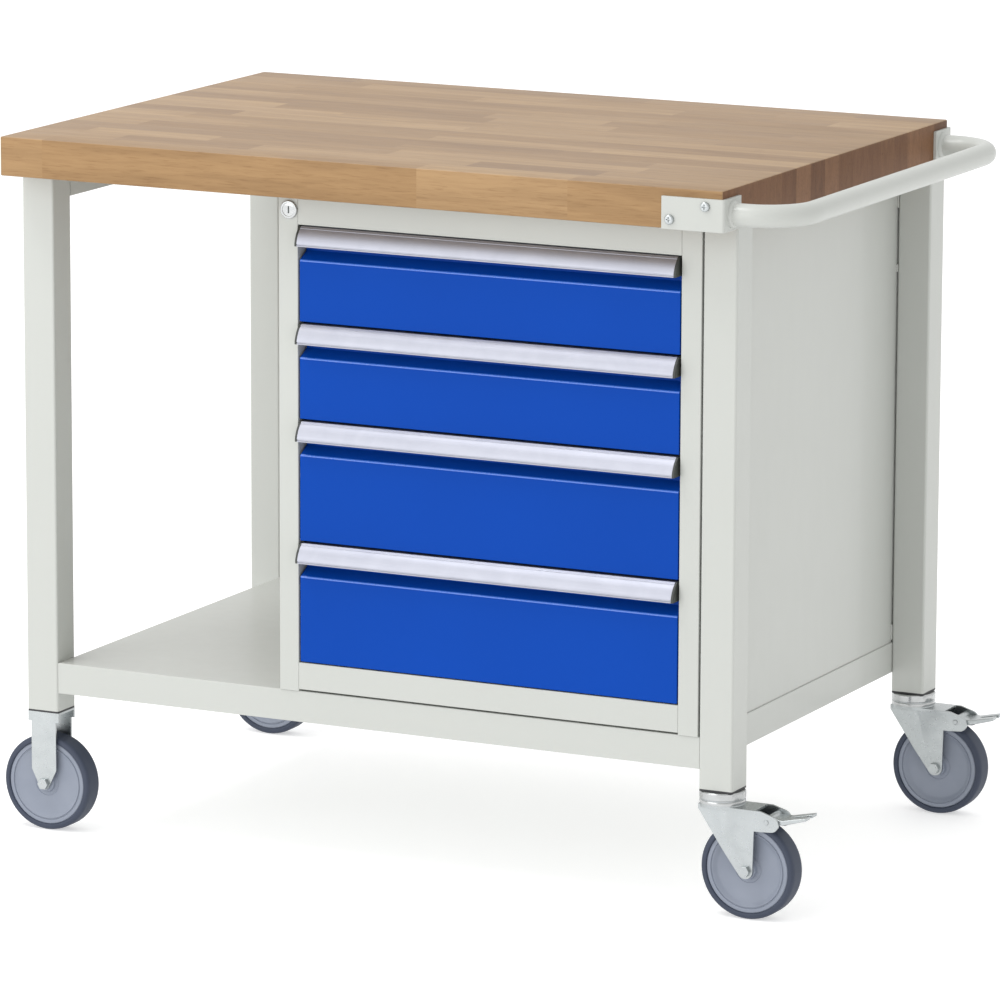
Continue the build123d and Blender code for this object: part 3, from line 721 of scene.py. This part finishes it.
# %% Dust rings round the swivel bearings
DUST_RING = in_metres([(27.9, 0.0), (28.5, 0.3), (28.85, 1.6),
                       (28.85, 3.4), (28.4, 4.8), (27.9, 5.1)])
PIN_FROM_FORK_END, RING_BELOW_FORK_TOP = 28 * MM, 6.4 * MM
for place in ("front_right", "rear_right"):
    low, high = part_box("swivel_fork_" + place)
    pin = Vector((low.x + PIN_FROM_FORK_END, (low.y + high.y) / 2, high.z - RING_BELOW_FORK_TOP))
    bm = bmesh.new()
    turned(bm, DUST_RING, pin, axle=Vector((0, 0, 1)))
    ring = as_piece("dust_ring_" + place, bm, [polished], "swivel_" + place, crease=30)
print("dust rings turned")

# %% Zinc parts
PRESSED_EDGE, BOLT_EDGE = 0.6 * MM, 0.5 * MM
eased("fixed_forks", PRESSED_EDGE, zinc)
eased("fixed_axle_bolts", BOLT_EDGE, zinc)
eased("swivel_heads", BOLT_EDGE, polished)
for place in ("front_right", "rear_right"):
    eased("swivel_fork_" + place, PRESSED_EDGE, zinc)
    eased("axle_bolt_" + place, BOLT_EDGE, zinc)
    eased("brake_lever_" + place, PRESSED_EDGE, zinc)
print("casters finished")

# %% [markdown]
# ## Floor, light and camera
#
# In a product studio the object stands on a sheet that is lit white. A plain white floor would
# turn grey in a render, so this one also glows a little. A large soft light comes from the front
# left, a long narrow one from above, and the surround is bright and even. The camera looks down a
# little through a long lens.

# %% Floor that glows
FLOOR_REACH, FLOOR_GLOW = 30.0, 0.50
bm = bmesh.new()
bmesh.ops.create_grid(bm, x_segments=1, y_segments=1, size=FLOOR_REACH)
floor_mesh = bpy.data.meshes.new("floor")
bm.to_mesh(floor_mesh)
bm.free()
floor = bpy.data.objects.new("floor", floor_mesh)
bpy.context.scene.collection.objects.link(floor)
floor_paint = Finish("lit_white_table", (0.66, 0.66, 0.66), 0.7)
floor_paint.shader.inputs["Emission Color"].default_value = (1, 1, 1, 1)
floor_paint.shader.inputs["Emission Strength"].default_value = FLOOR_GLOW
floor_paint.roughness(floor_paint.noise(8), 0.65, 0.75)
floor_mesh.materials.append(floor_paint.material)
print("floor reaches", FLOOR_REACH, "m each way")


# %% Lights and surround
def soft_light(name, position, target, width, length, power):
    """A rectangular lamp that faces its target."""
    lamp = bpy.data.lights.new(name, "AREA")
    lamp.shape = "RECTANGLE"
    lamp.size = width
    lamp.size_y = length
    lamp.energy = power
    light = bpy.data.objects.new(name, lamp)
    light.location = position
    light.rotation_euler = (Vector(target) - Vector(position)).to_track_quat("-Z", "Y").to_euler()
    bpy.context.scene.collection.objects.link(light)


soft_light("key_light", (-2.4, -5.0, 2.2), (0, 0, 0.5), width=5.0, length=4.0, power=95)
soft_light("top_light", (-1.4, -1.0, 3.9), (0, -0.2, 0.6), width=2.6, length=0.9, power=62)
world = bpy.data.worlds.new("studio")
world.use_nodes = True
world.node_tree.nodes["Background"].inputs["Color"].default_value = (1, 1, 1, 1)
world.node_tree.nodes["Background"].inputs["Strength"].default_value = 1.0
bpy.context.scene.world = world
bpy.context.scene.view_settings.view_transform = "Standard"
print("lights", len(bpy.data.lights))

# %% Camera
camera_data = bpy.data.cameras.new("camera")
camera_data.sensor_width = 36
camera_data.lens = 237.6
camera_data.clip_end = 100
camera = bpy.data.objects.new("camera", camera_data)
CAMERA_PLACE = Vector((3.688, -7.466, 2.090))
CAMERA_AZIMUTH, CAMERA_TILT, CAMERA_ROLL = 26.27, -11.28, 0.21
camera.matrix_world = (Matrix.Translation(CAMERA_PLACE)
                       @ Matrix.Rotation(radians(CAMERA_AZIMUTH), 4, "Z")
                       @ Matrix.Rotation(radians(90 + CAMERA_TILT), 4, "X")
                       @ Matrix.Rotation(radians(CAMERA_ROLL), 4, "Z"))
bpy.context.scene.collection.objects.link(camera)
bpy.context.scene.camera = camera
print("camera at", [round(v, 3) for v in CAMERA_PLACE])
